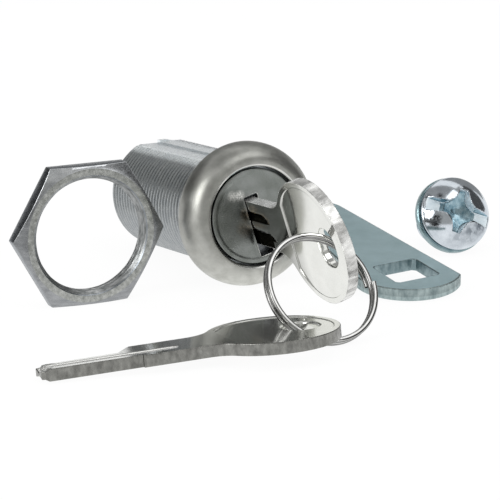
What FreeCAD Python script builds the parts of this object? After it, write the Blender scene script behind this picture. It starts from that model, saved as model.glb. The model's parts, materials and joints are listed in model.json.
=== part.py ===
import FreeCAD, Part
import math
import os

os.makedirs("parts", exist_ok=True)
V = FreeCAD.Vector
Rot = FreeCAD.Rotation
Place = FreeCAD.Placement

# Sizes, all in millimetres and degrees

# Threaded barrel
thread_d = 19.05
thread_pitch = 1.058
thread_depth = 0.571
barrel_len = 32.6
rear_chamfer = 0.9
flat_height = 8.38
step_height = 8.68
lip_height = 8.90
lip_length = 1.1

# Running plug and its bore
plug_d = 13.1
plug_gap = 0.06
head_d = 15.9
head_gap = 0.35
head_seat = 1.20
cap_skin = 0.35
face_z = 4.45

# Domed bezel
bezel_d = 24.1
bezel_h = 5.0
bezel_skin = 0.45
bezel_edge = 0.8

# How far the keyway leans from the barrel's flat
clock = 16.0

# Key
key_t = 1.9
key_insert = 15.6
neck_end = 29.6
bow_r = 10.4
bow_x = 37.8
bow_y = -1.5
key_top = 2.6
key_low = -4.6
neck_top = 3.1
neck_low = -5.0
tip_low = -1.35
cut_slope = 0.03
cut_end = 13.1
hole_x = 42.4
hole_y = -1.7
hole_w = 5.4
hole_h = 6.4
fillet_top = 4.2
fillet_low = 5.5
groove_d = 0.45

# Wafers and their springs
wafer_n = 5
wafer_t = 1.4
wafer_w = 4.6
wafer_step = 2.4
wafer_first = -10.2
wafer_play = 0.06
slot_play = 0.08
spring_d = 1.3
spring_wire = 0.2

# Split ring
ring_mean_r = 8.95
wire_radial = 0.90
wire_axial = 0.60
ring_gap = 0.44

# Nut
nut_af = 22.9
nut_t = 2.8
nut_chamfer_d = 22.06
nut_chamfer_slope = 0.40
nut_bite = 0.30
nut_mouth_d = 19.9
nut_back_d = 19.3

# Cam
cam_t = 2.1
cam_hole = 8.2
cam_end_r = 9.0

# Square tail and stop plate
tail_sq = 7.94
stop_t = 1.0

# Screw and washer
screw_d = 6.0
screw_pitch = 1.0
screw_len = 10.0
head_screw_d = 12.8
head_screw_h = 4.3
head_skirt = 1.3
slot_depth = 2.3
washer_d = 13.2
washer_t = 1.2

# Where each piece lies on the table
lock_at = (-1.12, 7.73)
lock_heading = 27.13
nut_at = (-26.17, -4.95)
nut_heading = 26.4
cam_at = (26.0, -4.4)
cam_tilt = 7.0
screw_at = (35.2, 29.6)
screw_heading = 22.0
screw_roll = -22.0

# How the split ring hangs in the first key's hole, in that key's frame, measured from the hole
ring_dx = 5.506
ring_dy = -3.796
ring_dz = 6.425
ring_yaw = -93.854
ring_pitch_angle = 71.558
ring_roll = -125.691

# How the second key hangs on the ring: its hole's place from the ring's middle, in the same frame
second_dx = 4.528
second_dy = -3.240
second_dz = 7.252
second_yaw = -64.308
second_pitch = 74.893
second_roll = 23.651


# Small helpers

def cyl(r, z0, z1, x=0.0, y=0.0):
    return Part.makeCylinder(r, z1 - z0, V(x, y, z0))


def box(x0, x1, y0, y1, z0, z1):
    return Part.makeBox(x1 - x0, y1 - y0, z1 - z0, V(x0, y0, z0))


def turned(points):
    pts = [V(r, 0, z) for r, z in points]
    face = Part.Face(Part.makePolygon(pts + [pts[0]]))
    return face.revolve(V(0, 0, 0), V(0, 0, 1), 360)


def turned_edges(edges):
    face = Part.Face(Part.Wire(edges))
    return face.revolve(V(0, 0, 0), V(0, 0, 1), 360)


def line(a, b):
    return Part.makeLine(a, b)


# Quarter of an ellipse from its side point to its top point, whichever is the longer way
def quarter(side, top, centre):
    if (side - centre).Length > (top - centre).Length:
        curve = Part.Ellipse(side, top, centre)
    else:
        curve = Part.Ellipse(top, side, centre)
    return Part.Arc(curve, 0, math.pi / 2).toShape()


def prism(points, z0, z1):
    pts = [V(x, y, z0) for x, y in points]
    face = Part.Face(Part.makePolygon(pts + [pts[0]]))
    return face.extrude(V(0, 0, z1 - z0))


def save(shape, name):
    solids = shape.Solids
    if len(solids) != 1:
        print("solids in", name, len(solids))
    out = solids[0] if len(solids) == 1 else shape
    if not out.isValid():
        print("not valid", name)
    out.exportStep("parts/" + name + ".step")
    print(name, round(out.Volume, 3))
    return out


def frame(origin, x_axis, y_axis, z_axis):
    m = FreeCAD.Matrix(x_axis.x, y_axis.x, z_axis.x, origin.x,
                       x_axis.y, y_axis.y, z_axis.y, origin.y,
                       x_axis.z, y_axis.z, z_axis.z, origin.z,
                       0, 0, 0, 1)
    return Place(m)


def put(shape, place):
    s = shape.copy()
    s.transformShape(place.toMatrix())
    return s


# Thread as equal rings: crest and root radius, from z0 to z1, turned outwards
def ring_thread(crest, root, pitch, z0, z1):
    pts = []
    n = int((z1 - z0) / pitch + 0.001)
    step = (z1 - z0) / n
    for i in range(n):
        z = z0 + i * step
        pts.append((root, z + 0.06 * step))
        pts.append((root, z + 0.16 * step))
        pts.append((crest, z + 0.46 * step))
        pts.append((crest, z + 0.76 * step))
        pts.append((root, z + 1.00 * step))
    return pts


# Frames: the lock's own axis is local z, its face looks along +z and its flat along +y

thread_r = thread_d / 2
root_r = thread_r - thread_depth
land_r = thread_r + 0.01
bezel_r = bezel_d / 2
edge_z = -(barrel_len - rear_chamfer)
lean = math.degrees(math.atan2(bezel_r - thread_r, -edge_z))


def lying(heading, pitch, origin):
    h = math.radians(heading)
    p = math.radians(pitch)
    z_axis = V(math.sin(h) * math.cos(p), -math.cos(h) * math.cos(p), math.sin(p))
    x_axis = V(math.cos(h), math.sin(h), 0)
    y_axis = z_axis.cross(x_axis)
    return frame(origin, x_axis, y_axis, z_axis)


lock_z = bezel_r * math.cos(math.radians(lean))
lock = lying(lock_heading, lean, V(lock_at[0], lock_at[1], lock_z))
plug_turn = lock.multiply(Place(V(0, 0, 0), Rot(V(0, 0, 1), clock)))

# Barrel: thread, flange under the bezel, stepped flat, bores and lock slots

plug_r = plug_d / 2
bore_r = plug_r + plug_gap
head_r = head_d / 2
well_r = head_r + head_gap
under_r = bezel_r - bezel_skin
dome_x = 8.9
dome_top = bezel_h - bezel_skin

outer = [(bore_r, -barrel_len), (thread_r - 0.5, -barrel_len)]
outer += [(root_r, edge_z - 0.3)]
outer += ring_thread(thread_r, root_r, thread_pitch, edge_z - 0.2, -0.35)
outer += [(land_r, -0.3), (land_r, 0.0)]
pts = [V(r, 0, z) for r, z in outer]
edges = [line(pts[i], pts[i + 1]) for i in range(len(pts) - 1)]
p_edge = V(under_r, 0, 0)
p_side = V(under_r, 0, bezel_edge)
p_dome = V(dome_x, 0, dome_top)
p_well = V(well_r, 0, dome_top)
p_seat = V(well_r, 0, head_seat)
p_bore = V(bore_r, 0, head_seat)
edges.append(line(pts[-1], p_edge))
edges.append(line(p_edge, p_side))
edges.append(quarter(p_side, p_dome, V(dome_x, 0, bezel_edge)))
edges.append(line(p_dome, p_well))
edges.append(line(p_well, p_seat))
edges.append(line(p_seat, p_bore))
edges.append(line(p_bore, pts[0]))
barrel = turned_edges(edges)

clip_floor = -barrel_len + 1.6
clip_r = 7.7
barrel = barrel.cut(cyl(clip_r, -barrel_len - 1, clip_floor))
far = thread_r + 1
cuts = [box(-far, 0, flat_height, far, -barrel_len - 1, -0.35)]
cuts.append(box(0, far, step_height, far, -barrel_len + lip_length, -0.35))
cuts.append(box(0, 1.7, lip_height, far, -barrel_len - 1, -barrel_len + lip_length))
cuts.append(box(1.7, far, step_height, far, -barrel_len - 1, -barrel_len + lip_length))
slot_w = wafer_w / 2 + 0.15
slot_top = 7.55
wafer_last = wafer_first + wafer_step * (wafer_n - 1)
slot_z0 = wafer_first - wafer_t / 2 - 0.7
slot_z1 = wafer_last + wafer_t / 2 + 0.6
for k in range(4):
    s = box(-slot_w, slot_w, 0, slot_top, slot_z0, slot_z1)
    s.rotate(V(0, 0, 0), V(0, 0, 1), clock + 90 * k)
    cuts.append(s)
barrel = barrel.cut(cuts)

# Stop lug on the barrel's back face: the stop plate's tooth runs 90 degrees between its ends
tooth_half = 18.0
tooth_mid = 180.0
lug_in = 7.05
lug_out = 8.30
lug_from = tooth_mid + tooth_half + 1.0
lug_span = 360.0 - 90.0 - 2 * tooth_half - 2.0
lug = Part.makeCylinder(lug_out, stop_t + 0.1, V(0, 0, 0), V(0, 0, 1), lug_span)
lug = lug.cut(cyl(lug_in, -1, 3))
lug.rotate(V(0, 0, 0), V(0, 0, 1), lug_from + clock)
lug.translate(V(0, 0, -barrel_len - stop_t - 0.05))
lug_ring = lug.cut(cyl(clip_r, -barrel_len - 0.01, -barrel_len + 2))
barrel = barrel.fuse(lug_ring)

# Bezel: thin domed cap over the flange
e_top = bezel_h
c0 = V(under_r, 0, 0)
c1 = V(bezel_r, 0, 0)
c2 = V(bezel_r, 0, bezel_edge)
c3 = V(dome_x, 0, e_top)
c4 = V(well_r + 0.35, 0, e_top)
c5 = V(well_r, 0, e_top - 0.25)
c6 = V(well_r, 0, dome_top)
c7 = V(dome_x, 0, dome_top)
c8 = V(under_r, 0, bezel_edge)
arc_out = quarter(c2, c3, V(dome_x, 0, bezel_edge))
arc_in = quarter(c8, c7, V(dome_x, 0, bezel_edge))
ring_edges = [line(c0, c1), line(c1, c2), arc_out, line(c3, c4), line(c4, c5), line(c5, c6)]
ring_edges += [line(c6, c7), arc_in, line(c8, c0)]
bezel = turned_edges(ring_edges)

# Plug: head, round body, clip groove, square tail with a tapped hole
stop_z = -barrel_len - 0.1
tail_end = stop_z - stop_t - cam_t + 0.15
core_r = head_r - cap_skin
core_z = face_z - cap_skin
groove_z0 = clip_floor - 0.95
groove_z1 = clip_floor - 0.05
plug = turned([(0, -barrel_len), (plug_r, -barrel_len), (plug_r, head_seat + 0.05),
               (core_r, head_seat + 0.05), (core_r, core_z), (0, core_z)])
groove = cyl(plug_r + 1, groove_z0, groove_z1).cut(cyl(5.95, groove_z0 - 1, groove_z1 + 1))
plug = plug.cut(groove)
half = tail_sq / 2
tail = box(-half, half, -half, half, tail_end, -barrel_len)
tail = tail.common(cyl(5.3, tail_end, -barrel_len))
plug = plug.fuse(tail)
tap_r = 2.5
tap_depth = 11.5
tap = cyl(tap_r, tail_end - 1, tail_end + tap_depth)
tap_rings = turned([(0, tail_end - 0.5)] + [(r, z) for r, z in
                   ring_thread(screw_d / 2 + 0.05, tap_r, screw_pitch, tail_end + 0.3, tail_end + 10.3)]
                   + [(0, tail_end + 10.5)])
plug = plug.cut(tap)
plug = plug.cut(tap_rings)

# Keyway: mouth in the head, slot for the blade, one ward rib
mouth_x0 = -1.20
mouth_x1 = 1.45
mouth_y0 = -6.9
mouth_y1 = 3.45
mouth_floor = face_z - 1.85
way_x = key_t / 2 + 0.13
tip_z = mouth_floor + 0.1 - key_insert
rib_low = -0.17
rib_high = 0.92
mouth = box(mouth_x0, mouth_x1, mouth_y0, mouth_y1, mouth_floor, face_z + 1)
way = box(-way_x, way_x, key_low - 0.15, key_top + 0.15, tip_z - 0.4, mouth_floor + 0.5)
rib = box(-way_x - 0.1, -key_t / 2 + groove_d - 0.13, rib_low, rib_high, tip_z - 1, mouth_floor)
way = way.cut(rib)
plug = plug.cut(mouth)
plug = plug.cut(way)

# Wafer slots, ear slots and spring pockets
ear_x = 3.7
spring_x = 3.0
pocket_low = -3.2
ear_low = 0.6
ear_high = 1.9
for i in range(wafer_n):
    zc = wafer_first + wafer_step * i
    z0 = zc - wafer_t / 2 - 0.05
    z1 = zc + wafer_t / 2 + 0.05
    plug = plug.cut(box(-wafer_w / 2 - slot_play, wafer_w / 2 + slot_play, -9, 9, z0, z1))
    plug = plug.cut(box(0, ear_x + 0.1, ear_low - 0.1, 9, z0, z1))
    pocket = Part.makeCylinder(spring_d / 2 + 0.08, ear_low - pocket_low, V(spring_x, pocket_low, zc), V(0, 1, 0))
    plug = plug.cut(pocket)

# Plug cap: thin skin over the head
cap = turned([(0, core_z), (core_r, core_z), (core_r, head_seat + 0.4), (head_r, head_seat + 0.4),
              (head_r, face_z - 0.28), (head_r - 0.1, face_z - 0.1), (head_r - 0.32, face_z), (0, face_z)])
cap = cap.cut(box(mouth_x0, mouth_x1, mouth_y0, mouth_y1, core_z - 1, face_z + 1))

# Plug clip: open spring ring in the plug's groove
clip_t = 0.8
clip_in = 6.0
clip_out = 7.6
clip_z0 = clip_floor - 0.05 - clip_t
clip = cyl(clip_out, clip_z0, clip_z0 + clip_t).cut(cyl(clip_in, clip_z0 - 1, clip_z0 + 2))
clip = clip.cut(box(-1.6, 1.6, 0, 9, clip_z0 - 1, clip_z0 + 2))

# Stop plate: disc on the square tail with one tooth
plate = cyl(lug_in - 0.15, stop_z - stop_t, stop_z)
tooth = Part.makeCylinder(lug_out - 0.05, stop_t, V(0, 0, stop_z - stop_t), V(0, 0, 1), 2 * tooth_half)
tooth.rotate(V(0, 0, 0), V(0, 0, 1), tooth_mid - tooth_half)
plate = plate.fuse(tooth).removeSplitter()
hs = half + 0.03
plate = plate.cut(box(-hs, hs, -hs, hs, stop_z - 3, stop_z + 3))

# Wafers: plate with a window for the blade and an ear for its spring
wafer_r = plug_r - 0.1
wafers = []
for i in range(wafer_n):
    zc = wafer_first + wafer_step * i
    z0 = zc - wafer_t / 2
    z1 = zc + wafer_t / 2
    at = zc - tip_z
    w = cyl(wafer_r, z0, z1).common(box(-wafer_w / 2, wafer_w / 2, -9, 9, z0, z1))
    w = w.fuse(box(wafer_w / 2 - 0.5, ear_x, ear_low, ear_high, z0, z1)).removeSplitter()
    low = tip_low - cut_slope * (at + wafer_t / 2) - wafer_play
    w = w.cut(box(-way_x - 0.05, way_x + 0.05, low, key_top + 0.2, z0 - 1, z1 + 1))
    wafers.append(w)


# Tube along arcs: quarter-turn pairs of arcs with shared tangents
def arc_pair(p0, t0, p1, t1):
    v = p1 - p0
    t = t0 + t1
    den = 2 * (1 - t0.dot(t1))
    d = (-v.dot(t) + math.sqrt(v.dot(t) ** 2 + den * v.dot(v))) / den
    q0 = p0 + t0 * d
    q1 = p1 - t1 * d
    pm = (q0 + q1) * 0.5
    tm = V(q1.x - q0.x, q1.y - q0.y, q1.z - q0.z)
    tm.normalize()
    return one_arc(p0, t0, pm), one_arc(pm, tm, p1)


def one_arc(a, t, b):
    c = b - a
    length = c.Length
    u = c * (1 / length)
    half_angle = math.acos(max(-1.0, min(1.0, t.dot(u))))
    n = t - u * t.dot(u)
    n.normalize()
    mid = (a + b) * 0.5 + n * (length / 2 * math.tan(half_angle / 2))
    return Part.Arc(a, mid, b).toShape()


def coil_path(radius, pitch, turns, start=0.0, z0=0.0):
    edges = []
    n = int(round(turns * 4))
    slope = pitch / (2 * math.pi)

    def at(i):
        a = start + i * math.pi / 2
        p = V(radius * math.cos(a), radius * math.sin(a), z0 + slope * (i * math.pi / 2))
        t = V(-radius * math.sin(a), radius * math.cos(a), slope)
        t.normalize()
        return p, t
    for i in range(n):
        p0, t0 = at(i)
        p1, t1 = at(i + 1)
        a, b = arc_pair(p0, t0, p1, t1)
        edges += [a, b]
    return Part.Wire(edges), at(0)


def least_gap(radius, pitch, turns, thick):
    best = 1e9
    n = 60
    pts = []
    for i in range(int(turns * n) + 1):
        a = 2 * math.pi * i / n
        pts.append(V(radius * math.cos(a), radius * math.sin(a), pitch * i / n))
    for i in range(len(pts)):
        for j in range(i + n // 2, len(pts)):
            best = min(best, (pts[i] - pts[j]).Length)
    return best - thick


# Wafer springs: small coils standing in the plug's pockets, under the wafers' ears
spring_low = pocket_low + spring_wire / 2 + 0.03
spring_high = ear_low - spring_wire / 2 - 0.03
spring_turns = 5
spring_pitch = (spring_high - spring_low) / spring_turns
spring_r = spring_d / 2 - spring_wire / 2
path, (sp, st) = coil_path(spring_r, spring_pitch, spring_turns)
profile = Part.Wire(Part.Circle(sp, st, spring_wire / 2).toShape())
spring = path.makePipeShell([profile], True, False)
print("wafer spring least gap to itself", round(least_gap(spring_r, spring_pitch, spring_turns, spring_wire), 3))

# Split ring: two turns of flattened wire
ring_pitch = wire_axial + ring_gap
ring_turns = 2
path, (rp, rt) = coil_path(ring_mean_r, ring_pitch, ring_turns, 0.0, -ring_pitch * ring_turns / 2)
across = V(1, 0, 0)
up = rt.cross(across)
up.normalize()
oval = Part.Ellipse(rp + across * (wire_radial / 2), rp + up * (wire_axial / 2), rp)
profile = Part.Wire(oval.toShape())
ring = path.makePipeShell([profile], True, False)
print("split ring least gap to itself", round(least_gap(ring_mean_r, ring_pitch, ring_turns, wire_axial), 3))


# Hollow fillet between a neck edge and the bow's circle, on the side that side gives
def bow_fillet(edge_y, r, side, h):
    c = V(0, edge_y + side * r, 0)
    drop = c.y - bow_y
    c.x = bow_x - math.sqrt((bow_r + r) ** 2 - drop ** 2)
    to_bow = V(bow_x - c.x, bow_y - c.y, 0)
    to_bow.normalize()
    from_neck = V(0, -side, 0)
    half_way = to_bow + from_neck
    half_way.normalize()
    a = c + from_neck * r
    t = c + to_bow * r
    deep = edge_y - side * 0.5
    inner = V(t.x + 0.6, t.y, 0)
    edges = [Part.Arc(a, c + half_way * r, t).toShape(), line(t, inner), line(inner, V(inner.x, deep, 0)),
             line(V(inner.x, deep, 0), V(a.x, deep, 0)), line(V(a.x, deep, 0), a)]
    web = Part.Face(Part.Wire(edges)).extrude(V(0, 0, 2 * h))
    web.translate(V(0, 0, -h))
    return web


# Key: x from the tip to the bow, y towards the straight edge, z through the thickness
def make_key():
    h = key_t / 2
    pts = [(0.0, 2.1), (1.1, key_top), (key_insert, key_top), (key_insert, neck_top), (neck_end, neck_top)]
    pts += [(neck_end, neck_low), (key_insert, neck_low), (key_insert, key_low), (15.3, key_low)]
    pts += [(cut_end, tip_low - cut_slope * cut_end)]
    steps = wafer_n
    seg = (cut_end - 1.6) / steps
    for i in range(steps, 0, -1):
        x1 = 1.6 + seg * i
        x0 = 1.6 + seg * (i - 1)
        y = tip_low - cut_slope * x0
        pts.append((x1 - 0.02, y))
        pts.append((x0 + 0.02, y))
    pts += [(0.8, tip_low), (0.0, -1.0)]
    flat = prism(pts, -h, h)
    disc = cyl(bow_r, -h, h, bow_x, bow_y)
    edge = turned([(0, -h), (bow_r - 0.35, -h), (bow_r, -h + 0.35), (bow_r, h - 0.35), (bow_r - 0.35, h), (0, h)])
    edge.translate(V(bow_x, bow_y, 0))
    disc = disc.common(edge)
    key = flat.fuse(disc)
    # Hollow fillets where the neck runs into the bow
    web_top = bow_fillet(neck_top, fillet_top, 1, h)
    web_low = bow_fillet(neck_low, fillet_low, -1, h)
    key = key.fuse([web_top, web_low]).removeSplitter()
    # Ring hole
    straight = (hole_h - hole_w) / 2
    r = hole_w / 2
    hole = cyl(r, -5, 5, hole_x, hole_y - straight).fuse(cyl(r, -5, 5, hole_x, hole_y + straight))
    hole = hole.fuse(box(hole_x - r, hole_x + r, hole_y - straight, hole_y + straight, -5, 5))
    key = key.cut(hole)
    # Coined facet behind the crease, on both faces
    for s in (1, -1):
        facet = [V(neck_end, -20, s * (h + 1)), V(neck_end, -20, s * (h - 0.2)),
                 V(neck_end + 4.2, -20, s * h), V(neck_end + 4.2, -20, s * (h + 1))]
        wedge = Part.Face(Part.makePolygon(facet + [facet[0]])).extrude(V(0, 40, 0))
        key = key.cut(wedge)
    # Thinner tip
    key = key.cut([box(-1, 0.95, -4, 4, h - 0.33, h + 1), box(-1, 0.95, -4, 4, -h - 1, 0.33 - h)])
    # Milled grooves with a run-out at the neck; the lowest one is open at the edge
    for s, y0, y1, end, run in ((1, -0.42, 1.17, 20.7, 2.8), (1, -3.4, -2.06, 21.8, 2.8), (1, -5.4, -3.4, 23.2, 0.4),
                                (-1, -0.25, 1.15, 18.6, 2.8)):
        lane = [V(-1, y0, s * (h + 1)), V(-1, y0, s * (h - groove_d)), V(end, y0, s * (h - groove_d)),
                V(end + run, y0, s * h), V(end + run, y0, s * (h + 1))]
        lane = Part.Face(Part.makePolygon(lane + [lane[0]])).extrude(V(0, y1 - y0, 0))
        key = key.cut(lane)
    return key.removeSplitter()


key = make_key()

# Hex nut: axis along local z, one flat down
hex_r = nut_af / math.sqrt(3)
nut = prism([(hex_r * math.cos(math.radians(60 * k)), hex_r * math.sin(math.radians(60 * k))) for k in range(6)],
            -nut_t / 2, nut_t / 2)
# Turned chamfer on the front only; the back stays flat
drop = (hex_r - nut_chamfer_d / 2) * nut_chamfer_slope
cone = turned([(0, -nut_t / 2 - 1), (hex_r + 1, -nut_t / 2 - 1), (hex_r + 1, nut_t / 2 - drop - nut_chamfer_slope),
               (hex_r, nut_t / 2 - drop), (nut_chamfer_d / 2, nut_t / 2), (0, nut_t / 2)])
nut = nut.common(cone)
nut_root = thread_r + 0.08
nut_crest = thread_r - nut_bite
nut_open = nut_mouth_d / 2
nut_back = nut_back_d / 2
nut_bore = turned([(0, -nut_t / 2 - 0.1), (nut_back + 0.1, -nut_t / 2 - 0.1), (nut_crest, -nut_t / 2 + nut_back - nut_crest),
                   (nut_crest, nut_t / 2 - nut_open + nut_crest), (nut_open + 0.1, nut_t / 2 + 0.1), (0, nut_t / 2 + 0.1)])
nut = nut.cut(nut_bore)
for zc in (-0.73, 0.33):
    vee = turned([(nut_crest - 0.2, zc - 0.40), (nut_root, zc - 0.07), (nut_root, zc + 0.07), (nut_crest - 0.2, zc + 0.40)])
    nut = nut.cut(vee)

# Cam: plate with a square hole, one straight long edge with a sharp corner
# local x to the right, y away, z up through the thickness
hole_c = (-0.2, 8.6)
corner_pt = (8.1, 7.2)
top_c = (-14.3, 37.2)
top_r = 5.0


def tangent_side(c, r, p, side):
    dx = p[0] - c[0]
    dy = p[1] - c[1]
    d = math.hypot(dx, dy)
    base = math.atan2(dy, dx)
    a = math.acos(r / d)
    t = base + side * a
    return (c[0] + r * math.cos(t), c[1] + r * math.sin(t))


def cam_shape():
    c1 = (0.0, cam_end_r)
    r1 = cam_end_r
    t1 = tangent_side(top_c, top_r, corner_pt, 1)
    ang = math.atan2(corner_pt[1] - c1[1], corner_pt[0] - c1[0])
    # left side: line touching both round ends
    dx = c1[0] - top_c[0]
    dy = c1[1] - top_c[1]
    d = math.hypot(dx, dy)
    base = math.atan2(dy, dx)
    a = math.acos((top_r - r1) / d)
    t = base - a
    l_top = (top_c[0] + top_r * math.cos(t), top_c[1] + top_r * math.sin(t))
    l_low = (c1[0] + r1 * math.cos(t), c1[1] + r1 * math.sin(t))
    start = (c1[0] + r1 * math.cos(ang), c1[1] + r1 * math.sin(ang))
    low = (c1[0], c1[1] - r1)
    a_top = math.atan2(t1[1] - top_c[1], t1[0] - top_c[0])
    a_left = math.atan2(l_top[1] - top_c[1], l_top[0] - top_c[0])
    if a_left < a_top:
        a_left += 2 * math.pi
    a_mid = (a_top + a_left) / 2
    mid = (top_c[0] + top_r * math.cos(a_mid), top_c[1] + top_r * math.sin(a_mid))
    e = [line(V(start[0], start[1], 0), V(t1[0], t1[1], 0)),
         Part.Arc(V(t1[0], t1[1], 0), V(mid[0], mid[1], 0), V(l_top[0], l_top[1], 0)).toShape(),
         line(V(l_top[0], l_top[1], 0), V(l_low[0], l_low[1], 0)),
         Part.Arc(V(l_low[0], l_low[1], 0), V(low[0], low[1], 0), V(start[0], start[1], 0)).toShape()]
    return Part.Face(Part.Wire(e)).extrude(V(0, 0, cam_t))


cam = cam_shape()
hole_turn = 28.0
sq = box(-cam_hole / 2, cam_hole / 2, -cam_hole / 2, cam_hole / 2, -1, 5)
sq = sq.common(cyl(5.45, -1, 5))
sq.rotate(V(0, 0, 0), V(0, 0, 1), hole_turn)
sq.translate(V(hole_c[0], hole_c[1], 0))
cam = cam.cut(sq)

# Screw: domed head with a cross and a slot, ringed shank
hr = head_screw_d / 2
dome_r = (hr ** 2 + (head_screw_h - head_skirt) ** 2) / (2 * (head_screw_h - head_skirt))
p0 = V(0, 0, 0)
p1 = V(hr - 0.3, 0, 0)
p2 = V(hr, 0, 0.3)
p3 = V(hr, 0, head_skirt)
p5 = V(0, 0, head_screw_h)
a_half = math.asin(hr / dome_r) / 2
p4 = V(dome_r * math.sin(a_half), 0, head_screw_h - dome_r + dome_r * math.cos(a_half))
head = turned_edges([line(p0, p1), line(p1, p2), line(p2, p3), Part.Arc(p3, p4, p5).toShape(), line(p5, p0)])
shank_pts = [(0, 0.05), (screw_d / 2 - 0.35, 0.05)]
shank_pts += [(screw_d / 2 - 0.35, -1.5)]
rings = ring_thread(screw_d / 2 - 0.02, screw_d / 2 - 0.55, screw_pitch, -screw_len + 0.6, -1.6)
shank_pts += [(r, z) for r, z in reversed(rings)]
shank_pts += [(screw_d / 2 - 0.7, -screw_len), (0, -screw_len)]
shank = turned(shank_pts)
screw = head.fuse(shank).removeSplitter()
slot = box(-8, 8, -0.8, 0.8, head_screw_h - slot_depth, head_screw_h + 2)
screw = screw.cut(slot)
wing = turned([(0, head_screw_h - 2.9), (0.7, head_screw_h - 2.6), (3.1, head_screw_h + 0.6), (0, head_screw_h + 0.6)])
for a in (0, 90):
    blade = wing.common(box(-0.75, 0.75, -5, 5, 0, 9))
    blade.rotate(V(0, 0, 0), V(0, 0, 1), a)
    screw = screw.cut(blade)
screw.rotate(V(0, 0, 0), V(0, 0, 1), screw_roll)

washer = cyl(washer_d / 2, -washer_t - 0.05, -0.05)
washer = washer.cut(cyl(screw_d / 2 + 0.2, -5, 5))

# Placing the pieces

placed = {}
placed["barrel"] = put(barrel, lock)
placed["bezel_cap"] = put(bezel, lock)
placed["plug"] = put(plug, plug_turn)
placed["plug_cap"] = put(cap, plug_turn)
placed["plug_clip"] = put(clip, plug_turn)
placed["stop_plate"] = put(plate, plug_turn)
for i in range(wafer_n):
    zc = wafer_first + wafer_step * i
    placed["wafer_%d" % (i + 1)] = put(wafers[i], plug_turn)
    s = spring.copy()
    s.rotate(V(0, 0, 0), V(1, 0, 0), -90)
    s.translate(V(spring_x, spring_low, zc))
    placed["wafer_spring_%d" % (i + 1)] = put(s, plug_turn)

key_1_place = plug_turn.multiply(frame(V(0, 0, tip_z), V(0, 0, 1), V(0, 1, 0), V(-1, 0, 0)))
placed["key_1"] = put(key, key_1_place)

# Split ring: hangs in the first key's hole
ring_rot = Rot(ring_yaw, ring_pitch_angle, ring_roll)
ring_spot = V(hole_x + ring_dx, hole_y + ring_dy, ring_dz)
placed["split_ring"] = put(ring, key_1_place.multiply(Place(ring_spot, ring_rot)))

# Second key: hangs on the ring by its own hole, with its tip on the table
second_rot = Rot(second_yaw, second_pitch, second_roll)
second_hole = ring_spot + V(second_dx, second_dy, second_dz)
second_spot = second_hole - second_rot.multVec(V(hole_x, hole_y, 0))
placed["key_2"] = put(key, key_1_place.multiply(Place(second_spot, second_rot)))

# Nut stands on one flat
nh = math.radians(nut_heading)
nz = V(math.sin(nh), -math.cos(nh), 0)
nx = V(math.cos(nh), math.sin(nh), 0)
placed["nut"] = put(nut, frame(V(nut_at[0], nut_at[1], nut_af / 2), nx, nz.cross(nx), nz))

# Cam leans up at its far end
ct = math.radians(cam_tilt)
cy = V(0, math.cos(ct), math.sin(ct))
cz = V(0, -math.sin(ct), math.cos(ct))
placed["cam"] = put(cam, frame(V(cam_at[0], cam_at[1], 0), V(1, 0, 0), cy, cz))

# Screw lies on its washer's rim and the end of its shank
screw_lean = math.degrees(math.atan2(washer_d / 2 - (screw_d / 2 - 0.35), screw_len - washer_t))
sl = math.radians(screw_lean)
rim_back = washer_t + 0.05
seat_h = washer_d / 2 * math.cos(sl) + rim_back * math.sin(sl)
screw_place = lying(screw_heading, screw_lean, V(screw_at[0], screw_at[1], seat_h))
placed["cam_screw"] = put(screw, screw_place)
placed["lock_washer"] = put(washer, screw_place)

# The row's origin is the middle of the whole layout's footprint, on the table
boxes = [s.optimalBoundingBox(True, False) for s in placed.values()]
mid_x = (min(b.XMin for b in boxes) + max(b.XMax for b in boxes)) / 2
mid_y = (min(b.YMin for b in boxes) + max(b.YMax for b in boxes)) / 2
low_z = min(b.ZMin for b in boxes)
shift = V(-mid_x, -mid_y, -low_z)
print("shift", shift.x, shift.y, shift.z)
for name in placed:
    placed[name].translate(shift)
    placed[name] = save(placed[name], name)
print("lock frame", lock)
print("lean", round(lean, 3), "screw lean", round(screw_lean, 3))
lows = sorted((round(s.optimalBoundingBox().ZMin, 3), n) for n, s in placed.items())
print("lowest", lows[:8])
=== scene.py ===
import json
import math

import bpy
import numpy as np
from mathutils import Euler, Matrix, Vector
from mathutils.geometry import delaunay_2d_cdt


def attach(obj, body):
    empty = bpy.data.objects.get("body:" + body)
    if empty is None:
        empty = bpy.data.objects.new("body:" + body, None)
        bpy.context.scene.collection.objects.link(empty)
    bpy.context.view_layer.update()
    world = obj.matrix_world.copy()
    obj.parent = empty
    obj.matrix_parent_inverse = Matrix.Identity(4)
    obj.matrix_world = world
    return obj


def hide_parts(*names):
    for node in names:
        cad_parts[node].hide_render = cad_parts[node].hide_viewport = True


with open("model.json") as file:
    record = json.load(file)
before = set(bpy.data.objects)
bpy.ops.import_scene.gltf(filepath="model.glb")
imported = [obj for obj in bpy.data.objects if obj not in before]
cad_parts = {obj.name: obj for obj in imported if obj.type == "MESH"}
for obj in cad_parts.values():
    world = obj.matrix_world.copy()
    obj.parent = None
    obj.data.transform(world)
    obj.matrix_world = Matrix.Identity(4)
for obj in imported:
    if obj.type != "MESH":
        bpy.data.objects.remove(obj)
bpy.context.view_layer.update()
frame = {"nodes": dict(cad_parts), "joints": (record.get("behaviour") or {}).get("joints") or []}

# All sizes below are in millimetres unless a name says otherwise; MM turns them into metres
MM = 0.001

nodes = frame["nodes"]
joints = {j["name"]: j for j in frame["joints"]}

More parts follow.
